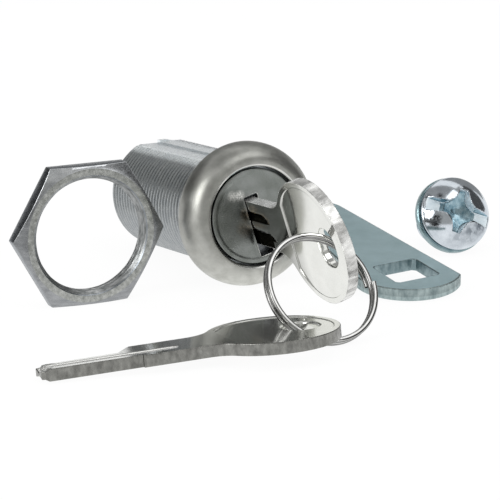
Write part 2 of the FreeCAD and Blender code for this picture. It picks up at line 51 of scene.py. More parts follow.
# Sizes shared with the solids
CLOCK = math.radians(16.0)
THREAD_R = 9.525
THREAD_PITCH = 1.058
BEZEL_R = 12.05
BEZEL_H = 5.0
BEZEL_EDGE = 0.8
BEZEL_SKIN = 0.45
DOME_R = 8.9
HEAD_R = 7.95
HEAD_GAP = 0.35
HEAD_SEAT = 1.2
FACE_Z = 4.45
MOUTH_X0, MOUTH_X1 = -1.20, 1.45
MOUTH_Y0, MOUTH_Y1 = -6.9, 3.62
MOUTH_FLOOR = FACE_Z - 1.85
KEY_STOP = 0.1
KEY_T = 1.9
KEY_INSERT = 15.6
KEY_TOP, KEY_LOW = 2.6, -4.6
NECK_TOP, NECK_LOW = 3.1, -5.0
FILLET_TOP, FILLET_LOW = 4.2, 5.5
BOW_R = 10.4
BOW_X, BOW_Y = 37.8, -1.5
TIP_LOW = -1.35
CUT_SLOPE = 0.03
CUT_START, CUT_END = 1.6, 13.1
HOLE_X, HOLE_Y = 42.4, -1.7
HOLE_W, HOLE_H = 5.4, 6.4
WAFER_N = 5

# Where things lie on the table, before the layout was centred
LOCK_AT = (-1.12, 7.73)
CAM_AT = (26.0, -4.4)
CAM_TILT = 7.0
NUT_HEADING = 26.4

# The ring hangs in the first key's hole and the second key on the ring: spot, then yaw, pitch and roll
RING_SPOT = (HOLE_X + 5.506, HOLE_Y - 3.796, 6.425)
RING_TURNS = (-93.854, 71.558, -125.691)
SECOND_SPOT = (RING_SPOT[0] + 4.528, RING_SPOT[1] - 3.240, RING_SPOT[2] + 7.252)
SECOND_TURNS = (-64.308, 74.893, 23.651)


# Frames

def frame_matrix(origin, x_axis, y_axis, z_axis):
    """Turn and place, from local axes and an origin in metres."""
    m = Matrix.Identity(4)
    for i in range(3):
        m[i][0] = x_axis[i]
        m[i][1] = y_axis[i]
        m[i][2] = z_axis[i]
        m[i][3] = origin[i]
    return m


lock_origin = Vector(joints["plug_turn"]["pos_m"])
lock_z = -Vector(joints["plug_turn"]["axis"]).normalized()
lock_x = Vector((-lock_z.y, lock_z.x, 0.0)).normalized()
lock_y = lock_z.cross(lock_x)
lock_place = frame_matrix(lock_origin, lock_x, lock_y, lock_z)
plug_x = lock_x * math.cos(CLOCK) + lock_y * math.sin(CLOCK)
plug_y = lock_y * math.cos(CLOCK) - lock_x * math.sin(CLOCK)
plug_place = frame_matrix(lock_origin, plug_x, plug_y, lock_z)
tip_z = MOUTH_FLOOR + KEY_STOP - KEY_INSERT
key_1_place = frame_matrix(lock_origin + lock_z * tip_z * MM, lock_z, plug_y, -plug_x)


def hung(spot, yaw, pitch, roll):
    """Place in the first key's frame, from a spot in millimetres and turns in degrees."""
    turn = Euler((math.radians(roll), math.radians(pitch), math.radians(yaw)), "XYZ").to_matrix().to_4x4()
    return key_1_place @ Matrix.Translation(Vector(spot) * MM) @ turn


ring_place = hung(RING_SPOT, *RING_TURNS)
key_2_place = hung(SECOND_SPOT, *SECOND_TURNS) @ Matrix.Translation((-HOLE_X * MM, -HOLE_Y * MM, 0.0))

# How far the layout was moved so that its footprint's middle is the origin
SHIFT = lock_origin / MM - Vector((*LOCK_AT, lock_origin.z / MM))

screw_origin = Vector(joints["washer_slide"]["pos_m"])
screw_z = -Vector(joints["washer_slide"]["axis"]).normalized()
screw_x = Vector((-screw_z.y, screw_z.x, 0.0)).normalized()
screw_place = frame_matrix(screw_origin, screw_x, screw_z.cross(screw_x), screw_z)

tilt = math.radians(CAM_TILT)
cam_y = Vector((0.0, math.cos(tilt), math.sin(tilt)))
cam_z = Vector((0.0, -math.sin(tilt), math.cos(tilt)))
cam_place = frame_matrix((SHIFT + Vector((*CAM_AT, 0.0))) * MM, Vector((1.0, 0.0, 0.0)), cam_y, cam_z)

heading = math.radians(NUT_HEADING)
nut_z = Vector((math.sin(heading), -math.cos(heading), 0.0))
nut_x = Vector((math.cos(heading), math.sin(heading), 0.0))
nut_place = frame_matrix(Vector(joints["nut_lift"]["pos_m"]), nut_x, nut_z.cross(nut_x), nut_z)


# Materials: every metal gets its own colour patches, roughness patches and fine bump; some also carry painted
# highlights, painted reflections and painted shade

EVEN = (1.0, 1.0, 1.0)
NOISE_ROUGHNESS = 0.55
SPOT_CORE = 1.4
WAVE_STRENGTH = 0.6


def wire(tree, node, *inputs):
    """Links or sets a node's inputs, given as (socket, value) pairs."""
    for socket, value in inputs:
        if isinstance(value, bpy.types.NodeSocket):
            tree.links.new(value, node.inputs[socket])
        else:
            node.inputs[socket].default_value = value
    return node


def mapping(tree, vector, scale, spot=(0.0, 0.0, 0.0), turn=(0.0, 0.0, 0.0)):
    node = tree.nodes.new("ShaderNodeMapping")
    wire(tree, node, ("Location", spot), ("Rotation", turn), ("Scale", scale), ("Vector", vector))
    return node.outputs["Vector"]


def own_place(tree, place):
    """Coordinates in the piece's own frame, in millimetres."""
    back = place.inverted()
    where = tree.nodes.new("ShaderNodeTexCoord").outputs["Object"]
    return mapping(tree, where, (1 / MM,) * 3, back.translation / MM, back.to_euler("XYZ"))


def noise(tree, here, scale, detail, stretch=EVEN):
    """Noise with scale in lumps to a millimetre."""
    node = tree.nodes.new("ShaderNodeTexNoise")
    wire(tree, node, ("Scale", scale), ("Detail", detail), ("Roughness", NOISE_ROUGHNESS),
         ("Vector", mapping(tree, here, stretch)))
    return node.outputs["Fac"]


def spread(tree, value, low, high, from_low=0.3, from_high=0.7):
    """A value moved from one range to another and held inside it."""
    node = tree.nodes.new("ShaderNodeMapRange")
    wire(tree, node, ("From Min", from_low), ("From Max", from_high), ("To Min", low), ("To Max", high),
         ("Value", value))
    return node.outputs["Result"]


def combined(tree, operation, first, second):
    node = tree.nodes.new("ShaderNodeMath")
    node.operation = operation
    return wire(tree, node, (0, first), (1, second)).outputs[0]


def mixed(tree, amount, first, second, blend="MIX"):
    """Two colours mixed."""
    node = tree.nodes.new("ShaderNodeMix")
    node.data_type = "RGBA"
    node.blend_type = blend
    return wire(tree, node, (0, amount), (6, first), (7, second)).outputs[2]


def bump(tree, height, depth, strength, *before):
    node = tree.nodes.new("ShaderNodeBump")
    wire(tree, node, ("Strength", strength), ("Distance", depth * MM), ("Height", height), *before)
    return node.outputs["Normal"]


def banded(tree, here, colour, axis, stops):
    """Colour multiplied by shares that change along an axis; stops are (millimetres, share)."""
    split = wire(tree, tree.nodes.new("ShaderNodeSeparateXYZ"), (0, here))
    low, high = stops[0][0], stops[-1][0]
    ramp = tree.nodes.new("ShaderNodeValToRGB")
    for i, (at, share) in enumerate(stops):
        place = (at - low) / (high - low)
        stop = ramp.color_ramp.elements[i] if i < 2 else ramp.color_ramp.elements.new(place)
        stop.position = place
        stop.color = (share, share, share, 1.0)
    wire(tree, ramp, ("Fac", spread(tree, split.outputs[axis], 0.0, 1.0, low, high)))
    return mixed(tree, 1.0, colour, ramp.outputs["Color"], "MULTIPLY")


def painted_light_spot(tree, here, colour, spot, radius, other):
    """Colour with a speckled spot of another colour round a point in millimetres: a painted highlight where the spot
    is light, a painted reflection where it is dark.
    """
    away = tree.nodes.new("ShaderNodeVectorMath")
    away.operation = "DISTANCE"
    wire(tree, away, (0, here), (1, spot))
    reach = spread(tree, away.outputs["Value"], SPOT_CORE, 0.0, 0.0, radius)
    # A smaller spot has a finer speckle
    speckle = spread(tree, noise(tree, here, 4.0 / radius ** 1.5, 3.0), 0.3, 1.0, 0.4, 0.6)
    return mixed(tree, combined(tree, "MULTIPLY", reach, speckle), colour, (*other, 1.0))


def metal(name, dark, light, rough, patch, grain, depth, strength, stretch=EVEN, patch_stretch=EVEN, wave=0.0,
          wave_scale=1.0, edge=1.0, band=None, painted_spots=(), place=Matrix.Identity(4), metallic=1.0):
    """Metal with colour patches between dark and light, and a grain that sets roughness and bump.
    patch, grain and wave_scale are lumps to a millimetre; depth and wave are bump depths in millimetres."""
    m = bpy.data.materials.new(name)
    m.use_nodes = True
    tree = m.node_tree
    here = own_place(tree, place)
    patches = spread(tree, noise(tree, here, patch, 4.0, patch_stretch), 0.0, 1.0)
    colour = mixed(tree, patches, (*dark, 1.0), (*light, 1.0))
    if band:
        colour = banded(tree, here, colour, *band)
    # Spots of painted highlight and painted reflection
    for spot in painted_spots:
        colour = painted_light_spot(tree, here, colour, *spot)
    fine = noise(tree, here, grain, 3.0, stretch)
    normal = bump(tree, fine, depth, strength)
    if wave > 0.0:
        normal = bump(tree, noise(tree, here, wave_scale, 1.0), wave, WAVE_STRENGTH, ("Normal", normal))
    # edge tints the grazing reflection; below 1 it darkens the rims, a painted shade
    wire(tree, tree.nodes["Principled BSDF"], ("Metallic", metallic), ("Specular Tint", (edge, edge, edge, 1.0)),
         ("Base Color", colour), ("Roughness", spread(tree, fine, *rough)), ("Normal", normal))
    return m


# The band paints the barrel's top flat lighter than its threads: painted highlight
zinc_thread = metal("zinc_thread", (0.74, 0.79, 0.82), (0.95, 0.99, 1.0), (0.20, 0.40), 0.8, 6.0, 0.008, 0.45,
                    band=("Y", ((-10.0, 0.42), (7.4, 0.45), (7.9, 1.0), (10.0, 1.0))), place=lock_place)
# The band paints the plug's front darker, where it shows in the gap round its head: painted shade
zinc_plug = metal("zinc_plug", (0.40, 0.43, 0.45), (0.56, 0.59, 0.61), (0.22, 0.42), 0.8, 6.0, 0.008, 0.45,
                  band=("Z", ((-33.0, 1.0), (-4.0, 1.0), (0.0, 0.30), (5.0, 0.30))), place=plug_place)
# The band paints the bezel lighter at the bottom and darker above: painted light and shade
satin_bezel = metal("satin_bezel", (0.54, 0.545, 0.505), (0.76, 0.765, 0.72), (0.32, 0.48), 0.45, 7.0, 0.008, 0.50,
                    band=("Y", ((-12.0, 1.0), (-8.0, 0.76), (-2.0, 0.60), (12.0, 0.64))), place=lock_place)
# Two light spots above the keyhole's left corner are painted highlights; two brown spots along its left edge are
# painted reflections
satin_face = metal("satin_face", (0.20, 0.215, 0.20), (0.29, 0.305, 0.295), (0.24, 0.36), 0.4, 9.0, 0.003, 0.25,
                   painted_spots=(((-2.9, 4.6, 4.35), 1.1, (0.80, 0.80, 0.77)), ((-1.6, 4.2, 4.35), 1.1, (0.95, 0.95, 0.92)),
                          ((-1.5, 0.9, 4.2), 1.3, (0.52, 0.45, 0.35)), ((-2.4, -1.2, 4.3), 1.8, (0.34, 0.31, 0.26))),
                   place=plug_place)
lip_polish = metal("lip_polish", (0.60, 0.60, 0.58), (0.72, 0.72, 0.70), (0.12, 0.20), 0.5, 6.0, 0.002, 0.2)
zinc_plate = metal("zinc_plate", (0.62, 0.83, 0.87), (0.73, 0.94, 0.99), (0.34, 0.46), 0.25, 7.0, 0.003, 0.30)
zinc_sheared = metal("zinc_sheared", (0.24, 0.31, 0.32), (0.50, 0.60, 0.60), (0.28, 0.55), 1.2, 4.0, 0.06, 0.7,
                     patch_stretch=(1.0, 1.0, 0.4), place=cam_place,
                     band=("Z", ((0.0, 1.0), (0.65, 1.0), (0.85, 0.75), (2.1, 0.9))))
zinc_hole = metal("zinc_hole", (0.16, 0.23, 0.25), (0.38, 0.48, 0.50), (0.28, 0.50), 1.3, 4.0, 0.06, 0.7,
                  patch_stretch=(1.0, 1.0, 0.4), place=cam_place)
brass = metal("brass", (0.55, 0.40, 0.18), (0.70, 0.53, 0.26), (0.25, 0.40), 0.8, 7.0, 0.006, 0.4)
spring_metal = metal("spring_metal", (0.45, 0.45, 0.46), (0.60, 0.60, 0.61), (0.20, 0.30), 1.0, 8.0, 0.003, 0.3)


def key_polish(name, place, metallic):
    return metal(name, (0.78, 0.785, 0.75), (0.85, 0.855, 0.82), (0.08, 0.14), 0.3, 3.0, 0.001, 0.2, wave=0.010,
                 wave_scale=0.25, band=("X", ((12.0, 1.0), (16.0, 0.42), (28.0, 0.42), (34.0, 1.0))), place=place,
                 metallic=metallic)


key_1_polish = key_polish("key_1_polish", key_1_place, 1.0)
key_2_polish = key_polish("key_2_polish", key_2_place, 0.93)
# The first key's grooves are painted nearly black, with darkened rims: painted shade
key_1_groove_shade = metal("key_1_groove_shade", (0.03, 0.03, 0.025), (0.06, 0.06, 0.05), (0.30, 0.45), 1.0, 5.0, 0.006, 0.4,
                     edge=0.2)
key_2_groove = metal("key_2_groove", (0.62, 0.62, 0.60), (0.80, 0.80, 0.78), (0.16, 0.28), 1.0, 4.0, 0.004, 0.3)
# Sides of the first key, lighter than the second key's and partly diffuse, with a white spot by the neck: painted
# highlight
key_1_edge_lit = metal("key_1_edge_lit", (0.30, 0.30, 0.29), (0.92, 0.92, 0.90), (0.16, 0.34), 0.9, 2.6, 0.030, 0.6,
                   stretch=(1.0, 1.0, 0.25), patch_stretch=(1.0, 1.0, 0.5), place=key_1_place, metallic=0.7,
                   painted_spots=(((23.0, 3.1, 0.2), 6.0, (1.0, 1.0, 1.0)),))
key_2_edge = metal("key_2_edge", (0.16, 0.16, 0.15), (0.32, 0.32, 0.30), (0.22, 0.36), 1.1, 3.2, 0.014, 0.5,
                   stretch=(1.0, 1.0, 0.4), patch_stretch=(1.0, 1.0, 0.6), place=key_2_place)
# edge=0.15 darkens the chrome's grazing rims: painted shade
chrome = metal("chrome", (0.44, 0.44, 0.43), (0.58, 0.58, 0.57), (0.05, 0.10), 0.5, 4.0, 0.001, 0.2, edge=0.15)
# Darker copy of the chrome for the ring wire's inner and outer flanks: painted shade
wire_flank_shade = metal("wire_flank_shade", (0.18, 0.18, 0.18), (0.30, 0.30, 0.29), (0.16, 0.26), 0.8, 4.0, 0.002, 0.3)
nut_metal = metal("nut_metal", (0.25, 0.26, 0.245), (0.52, 0.53, 0.51), (0.22, 0.44), 1.4, 4.5, 0.018, 0.6)
# The band paints the top of the nut's chamfer lighter and its middle darker: painted light and shade
nut_bevel = metal("nut_bevel", (0.52, 0.54, 0.56), (0.80, 0.82, 0.84), (0.22, 0.36), 1.2, 4.5, 0.014, 0.6,
                  stretch=(0.4, 1.0, 1.0), patch_stretch=(0.3, 1.2, 1.0), place=nut_place,
                  band=("Y", ((-12.0, 0.52), (5.0, 0.36), (8.5, 0.70), (10.5, 1.0))))
nut_bore = metal("nut_bore", (0.14, 0.15, 0.15), (0.46, 0.47, 0.47), (0.32, 0.48), 1.6, 4.5, 0.016, 0.6,
                 stretch=(1.0, 1.0, 3.0), patch_stretch=(0.5, 0.5, 2.5), place=nut_place)
nut_side = metal("nut_side", (0.20, 0.22, 0.24), (0.32, 0.34, 0.36), (0.24, 0.36), 0.8, 3.0, 0.010, 0.5,
                 stretch=(1.0, 1.0, 0.3), place=nut_place)
BLACK = (0.01, 0.012, 0.015)
# The dark spots on the dome are painted reflections
screw_zinc = metal("screw_zinc", (0.56, 0.61, 0.66), (0.72, 0.77, 0.82), (0.08, 0.18), 0.5, 3.0, 0.004, 0.3,
                   wave=0.035, wave_scale=0.35, place=screw_place,
                   painted_spots=(((-4.5, -0.7, 2.9), 1.3, BLACK), ((-4.6, -1.8, 2.7), 1.0, BLACK),
                          ((-5.2, 3.3, 1.9), 0.9, BLACK), ((3.6, -3.0, 2.9), 2.2, (0.12, 0.14, 0.17)),
                          ((1.3, -4.0, 3.1), 2.6, (0.22, 0.25, 0.28)), ((-1.0, -4.6, 2.6), 2.4, (0.40, 0.44, 0.48)),
                          ((-3.2, 3.1, 3.0), 0.7, BLACK)))
# Darker copy for the cross recess: painted shade; lighter, partly diffuse copy for the slot's floor and walls:
# painted highlight
screw_recess_shade = metal("screw_recess_shade", (0.14, 0.25, 0.31), (0.42, 0.56, 0.62), (0.18, 0.30), 1.2, 3.0, 0.005, 0.4)
screw_slot_highlight = metal("screw_slot_highlight", (0.66, 0.76, 0.82), (0.84, 0.92, 0.96), (0.16, 0.26), 1.0, 4.0, 0.002, 0.3,
                   metallic=0.4)
washer_zinc = metal("washer_zinc", (0.20, 0.30, 0.32), (0.34, 0.44, 0.46), (0.22, 0.36), 0.7, 4.0, 0.010, 0.5)

# The carried-over solids
finish_of = {"barrel": zinc_thread, "bezel_cap": satin_bezel, "plug": zinc_plug, "plug_cap": satin_face,
             "plug_clip": spring_metal, "stop_plate": zinc_plug, "key_1": key_1_polish, "key_2": key_2_polish,
             "split_ring": chrome, "nut": nut_metal, "cam": zinc_plate, "cam_screw": screw_zinc,
             "lock_washer": washer_zinc}
for i in range(1, WAFER_N + 1):
    finish_of["wafer_%d" % i] = brass
    finish_of["wafer_spring_%d" % i] = spring_metal
for name, finish in finish_of.items():
    mesh = nodes[name].data
    if len(mesh.materials) == 0:
        mesh.materials.append(finish)
    for held in nodes[name].material_slots:
        held.material = finish


# Camera, at the photograph's angle

CAMERA_BACK = 450.6245
CAMERA_HEIGHT = 118.87
CAMERA_PITCH = 76.124

cam_data = bpy.data.cameras.new("camera")
camera = bpy.data.objects.new("camera", cam_data)
bpy.context.scene.collection.objects.link(camera)
camera.location = (SHIFT.x * MM, (SHIFT.y - CAMERA_BACK) * MM, CAMERA_HEIGHT * MM)
camera.rotation_euler = (math.radians(CAMERA_PITCH), 0.0, 0.0)
cam_data.lens = 204.24
cam_data.sensor_width = 36.0
cam_data.clip_start = 0.01
cam_data.clip_end = 20.0
bpy.context.scene.camera = camera
bpy.context.scene.view_settings.view_transform = "Standard"


# Studio, in metres: white world, pale floor that keeps a soft shadow, lamps and cards

FLOOR_GLOW = 0.94
FLOOR_PAINT = (0.95, 0.95, 0.95, 1.0)
WHITE = (1.0, 1.0, 1.0, 1.0)


def seen_or_mirrored(tree):
    """1 for camera, glossy and transmission rays."""
    path = tree.nodes.new("ShaderNodeLightPath")
    total = path.outputs["Is Camera Ray"]
    for name in ("Is Glossy Ray", "Is Transmission Ray"):
        total = combined(tree, "MAXIMUM", total, path.outputs[name])
    return total


def bare_tree(owner):
    owner.use_nodes = True
    owner.node_tree.nodes.clear()
    return owner.node_tree


def mixed_shader(tree, amount, first, second):
    node = tree.nodes.new("ShaderNodeMixShader")
    return wire(tree, node, (0, amount), (1, first.outputs[0]), (2, second.outputs[0])).outputs[0]


world = bpy.data.worlds.new("studio")
bpy.context.scene.world = world
tree = bare_tree(world)
lighting = wire(tree, tree.nodes.new("ShaderNodeBackground"), ("Color", WHITE), ("Strength", 1.0))
backdrop = wire(tree, tree.nodes.new("ShaderNodeBackground"), ("Color", WHITE), ("Strength", 1.0))
wire(tree, tree.nodes.new("ShaderNodeOutputWorld"),
     ("Surface", mixed_shader(tree, seen_or_mirrored(tree), lighting, backdrop)))

bpy.ops.mesh.primitive_plane_add(size=4.0, location=(0.0, 0.0, 0.0))
floor = bpy.context.active_object
floor.name = "floor"
pale = bpy.data.materials.new("floor_pale")
tree = bare_tree(pale)
paint = wire(tree, tree.nodes.new("ShaderNodeBsdfDiffuse"), ("Color", FLOOR_PAINT))
glow = wire(tree, tree.nodes.new("ShaderNodeEmission"), ("Strength", 1.0))
share = combined(tree, "MULTIPLY", seen_or_mirrored(tree), FLOOR_GLOW)
wire(tree, tree.nodes.new("ShaderNodeOutputMaterial"), ("Surface", mixed_shader(tree, share, paint, glow)))
floor.data.materials.append(pale)


def aim(obj, target):
    direction = Vector(target) - obj.location
    obj.rotation_euler = direction.to_track_quat("-Z", "Y").to_euler()


def softbox(name, place, target, width, height, power):
    data = bpy.data.lights.new(name, "AREA")
    data.shape = "RECTANGLE"
    data.size = width
    data.size_y = height
    data.energy = power
    lamp = bpy.data.objects.new(name, data)
    bpy.context.scene.collection.objects.link(lamp)
    lamp.location = place
    aim(lamp, target)
    lamp.visible_camera = False


def card(name, place, target, width, height, shade):
    """Studio card, seen only in reflections."""
    bpy.ops.mesh.primitive_plane_add(size=1.0, location=place)
    c = bpy.context.active_object
    c.name = name
    c.scale = (width, height, 1.0)
    aim(c, target)
    paper = bpy.data.materials.new(name)
    tree = bare_tree(paper)
    lit = wire(tree, tree.nodes.new("ShaderNodeEmission"), ("Color", (*shade, 1.0)), ("Strength", 1.0))
    wire(tree, tree.nodes.new("ShaderNodeOutputMaterial"), ("Surface", lit.outputs[0]))
    c.data.materials.append(paper)
    c.visible_camera = False
    c.visible_diffuse = False
    c.visible_transmission = False
    c.visible_shadow = False


softbox("box_left", (-0.36, -0.37, 0.27), (0.0, 0.0, 0.01), 0.26, 0.26, 1.2)
softbox("box_top", (0.28, -0.15, 0.51), (0.0, 0.0, 0.0), 0.36, 0.36, 0.55)
card("card_back", (0.0, 0.60, 0.48), (0.0, 0.0, 0.27), 1.3, 0.78, (0.30, 0.30, 0.30))
card("card_back_left", (-0.62, 0.40, 0.42), (0.0, 0.0, 0.22), 0.8, 0.68, (0.07, 0.07, 0.07))
card("card_right", (0.62, 0.05, 0.36), (0.0, 0.0, 0.16), 0.92, 0.66, (0.09, 0.09, 0.09))
card("card_front", (0.15, -0.80, 0.42), (0.0, 0.0, 0.16), 1.3, 0.82, (0.42, 0.42, 0.41))
card("card_left", (-0.80, -0.20, 0.42), (0.0, 0.0, 0.16), 1.0, 0.80, (0.26, 0.26, 0.25))
card("card_top", (0.0, -0.10, 1.00), (0.0, 0.0, 0.0), 1.3, 1.2, (0.34, 0.34, 0.34))
card("card_sky", (0.05, 0.32, 0.66), (0.0, 0.0, 0.0), 0.62, 0.26, (1.0, 1.0, 1.0))


# Mesh helpers, all in millimetres in a piece's own frame

# Inset and drop as shares of the edge's radius, and the normal's angle in degrees
QUARTER_ROUND = ((0.0, 1.0, 0.0), (0.134, 0.5, 30.0), (0.5, 0.134, 60.0), (1.0, 0.0, 90.0))
CORNER_SHARE = 0.45  # how much of a side a corner's arc may take up
CONTOUR_GAP = 0.03  # between a plate's contours and its loops
CLOUD_GAP = 0.3  # between a plate's inner points and its contours, as a share of their step
CDT_KEEP_ALL = 0
CDT_MERGE = 1e-5
TINY = 1e-12
SHARP_EDGE = 28.0
SLOPE_STEP = 0.03


def arc(cx, cy, r, a0, a1, count):
    return [(cx + r * math.cos(math.radians(a0 + (a1 - a0) * k / count)),
             cy + r * math.sin(math.radians(a0 + (a1 - a0) * k / count))) for k in range(count + 1)]


def ease(t):
    """0 to 1 with level ends."""
    t = min(1.0, max(0.0, t))
    return t * t * (3 - 2 * t)


def divided(points, step):
    """The same closed path with its long runs divided."""
    more = []
    for i in range(len(points)):
        a = Vector(points[i])
        b = Vector(points[(i + 1) % len(points)])
        parts = max(1, int((b - a).length / step))
        for k in range(parts):
            p = a + (b - a) * (k / parts)
            more.append((p.x, p.y))
    return more


def rounded(points, radius, count=4, closed=True, sharp=25.0):
    """Points and left-hand normals of a path whose sharp corners become small arcs."""
    pts = []
    nrm = []
    n = len(points)
    for i in range(n):
        b = points[i]
        if not closed and i in (0, n - 1):
            a, c = (points[0], points[1]) if i == 0 else (points[n - 2], points[n - 1])
            d = Vector((c[0] - a[0], c[1] - a[1])).normalized()
            pts.append(b)
            nrm.append((-d.y, d.x))
            continue
        a = points[i - 1]
        c = points[(i + 1) % n]
        u = Vector((b[0] - a[0], b[1] - a[1]))
        v = Vector((c[0] - b[0], c[1] - b[1]))
        angle = math.atan2(u[0] * v[1] - u[1] * v[0], u[0] * v[0] + u[1] * v[1])
        if abs(angle) < math.radians(sharp) or radius <= 0:
            d = (u.normalized() + v.normalized()).normalized()
            pts.append(b)
            nrm.append((-d.y, d.x))
            continue
        cut = radius * math.tan(abs(angle) / 2)
        cut = min(cut, CORNER_SHARE * u.length, CORNER_SHARE * v.length)
        r = cut / math.tan(abs(angle) / 2)
        u.normalize()
        side = 1.0 if angle > 0 else -1.0
        start = Vector(b) - u * cut
        centre = start + Vector((-u.y, u.x)) * (r * side)
        for k in range(count + 1):
            t = angle * k / count
            left = Vector((-u.y, u.x))
            left = Vector((left.x * math.cos(t) - left.y * math.sin(t), left.x * math.sin(t) + left.y * math.cos(t)))
            p = centre - left * (r * side)
            pts.append((p.x, p.y))
            nrm.append((left.x, left.y))
    return pts, nrm


def inside(poly, xy):
    """Which points lie inside a polygon."""
    x, y = xy[:, 0], xy[:, 1]
    hit = np.zeros(len(xy), bool)
    for i in range(len(poly)):
        x0, y0 = poly[i]
        x1, y1 = poly[(i + 1) % len(poly)]
        cross = (y0 > y) != (y1 > y)
        at = (x1 - x0) * (y - y0) / (y1 - y0 if y1 != y0 else TINY) + x0
        hit ^= cross & (x < at)
    return hit


def near(line, xy, gap, closed=True):
    """Which points lie within gap of a line."""
    p = np.array(line)
    q = np.roll(p, -1, axis=0) if closed else p[1:]
    p = p if closed else p[:-1]
    best = np.full(len(xy), np.inf)
    for a, b in zip(p, q):
        d = b - a
        t = np.clip(((xy - a) @ d) / max(d @ d, TINY), 0, 1)
        best = np.minimum(best, np.linalg.norm(xy - a - t[:, None] * d, axis=1))
    return best < gap


def in_plate(polys, xy, gap):
    """Which points lie inside the first loop and outside the others, and not within gap of any."""
    ok = inside(polys[0], xy) & ~near(polys[0], xy, gap)
    for h in polys[1:]:
        ok &= ~inside(h, xy) & ~near(h, xy, gap)
    return ok


class Shape:
    """Collects vertices, their normals and faces with a material number."""

    def __init__(self):
        self.verts = []
        self.normals = []
        self.faces = []
        self.kinds = []

    def vert(self, p, n=(0, 0, 1)):
        self.verts.append((p[0] * MM, p[1] * MM, p[2] * MM))
        self.normals.append(Vector(n).normalized())
        return len(self.verts) - 1

    def face(self, idx, kind=0):
        self.faces.append(idx)
        self.kinds.append(kind)

    def grid(self, rows, kind=0, flip=False):
        """Quads between closed rows of vertex numbers; kind may be a list, one for each gap."""
        for i in range(len(rows) - 1):
            a, b = rows[i], rows[i + 1]
            for j in range(len(a)):
                k = (j + 1) % len(a)
                q = [a[j], a[k], b[k], b[j]]
                self.face(q[::-1] if flip else q, kind[i] if isinstance(kind, list) else kind)

    def make(self, name, place, finishes, body, stands_for, own_normals=True):
        """The finished object, with its mesh in the scene's frame."""
        mesh = bpy.data.meshes.new(name)
        mesh.from_pydata([place @ Vector(v) for v in self.verts], [], self.faces)
        for f in finishes:
            mesh.materials.append(f)
        mesh.polygons.foreach_set("material_index", self.kinds)
        mesh.polygons.foreach_set("use_smooth", [True] * len(self.faces))
        mesh.update()
        if own_normals:
            turn = place.to_3x3()
            mesh.normals_split_custom_set_from_vertices([tuple(turn @ n) for n in self.normals])
        else:
            mesh.set_sharp_from_angle(angle=math.radians(SHARP_EDGE))
        obj = bpy.data.objects.new(name, mesh)
        bpy.context.scene.collection.objects.link(obj)
        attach(obj, body)
        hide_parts(*stands_for)


def slope_normal(height, x, y, up):
    """Surface normal of a face z = height(x, y), seen from above (up 1) or from below (up -1)."""
    e = SLOPE_STEP
    dx = (height(x + e, y) - height(x - e, y)) / (2 * e)
    dy = (height(x, y + e) - height(x, y - e)) / (2 * e)
    return (-dx * up, -dy * up, float(up))


def edge_rows(shape, loop, radius, up, height):
    """Rows of a quarter round from a plate's side to one of its faces."""
    rows = []
    for inset, drop, tilt in QUARTER_ROUND:
        c = math.cos(math.radians(tilt))
        s = math.sin(math.radians(tilt))
        row = []
        for p, n in zip(*loop):
            x = p[0] + n[0] * inset * radius
            y = p[1] + n[1] * inset * radius
            z = height(x, y) - up * drop * radius
            normal = slope_normal(height, x, y, up) if tilt == 90.0 else (-n[0] * c, -n[1] * c, up * s)
            row.append(shape.vert((x, y, z), normal))
        rows.append(row)
    return rows


def add_sheet(shape, rims, up, height, lines, step, kind):
    """One face of a plate: its rims, the contours that it keeps and a cloud of points, all joined by triangles."""
    coords = []
    ids = []
    cons = []
    polys = []
    for row in rims:
        base = len(coords)
        xy = [(shape.verts[v][0] / MM, shape.verts[v][1] / MM) for v in row]
        polys.append(xy)
        coords += xy
        ids += row
        cons += [(base + k, base + (k + 1) % len(row)) for k in range(len(row))]
    for line, closed in lines:
        keep = in_plate(polys, np.array(line), CONTOUR_GAP)
        number = {}
        for k, p in enumerate(line):
            if keep[k]:
                number[k] = len(coords)
                coords.append(tuple(p))
                ids.append(None)
        for k in range(len(line) if closed else len(line) - 1):
            j = (k + 1) % len(line)
            if k in number and j in number:
                cons.append((number[k], number[j]))
    xs = np.array(polys[0])
    gx, gy = np.meshgrid(np.arange(xs[:, 0].min(), xs[:, 0].max(), step),
                         np.arange(xs[:, 1].min(), xs[:, 1].max(), step))
    gx = gx + (np.arange(gx.shape[0]) % 2)[:, None] * step / 2
    cloud = np.column_stack([gx.ravel(), gy.ravel()])
    ok = in_plate(polys, cloud, CLOUD_GAP * step)
    for line, closed in lines:
        ok &= ~near(line, cloud, CLOUD_GAP * step, closed)
    for p in cloud[ok]:
        coords.append((float(p[0]), float(p[1])))
        ids.append(None)
    got = delaunay_2d_cdt([Vector(p) for p in coords], cons, [], CDT_KEEP_ALL, CDT_MERGE, True)
    vs, fs, sources = got[0], got[2], got[3]
    mapped = []
    for k, p in enumerate(vs):
        own = [ids[o] for o in sources[k] if ids[o] is not None]
        mapped.append(own[0] if own else
                      shape.vert((p.x, p.y, height(p.x, p.y)), slope_normal(height, p.x, p.y, up)))
    mids = [[sum(vs[v].x for v in f) / 3, sum(vs[v].y for v in f) / 3] for f in fs]
    for f, mid, kept in zip(fs, mids, in_plate(polys, np.array(mids), 0.0)):
        if kept:
            a, b, c = (vs[v] for v in f)
            area = (b.x - a.x) * (c.y - a.y) - (b.y - a.y) * (c.x - a.x)
            tri = [mapped[v] for v in f]
            shape.face(tri if (area > 0) == (up > 0) else tri[::-1], kind(*mid, up) if callable(kind) else kind)


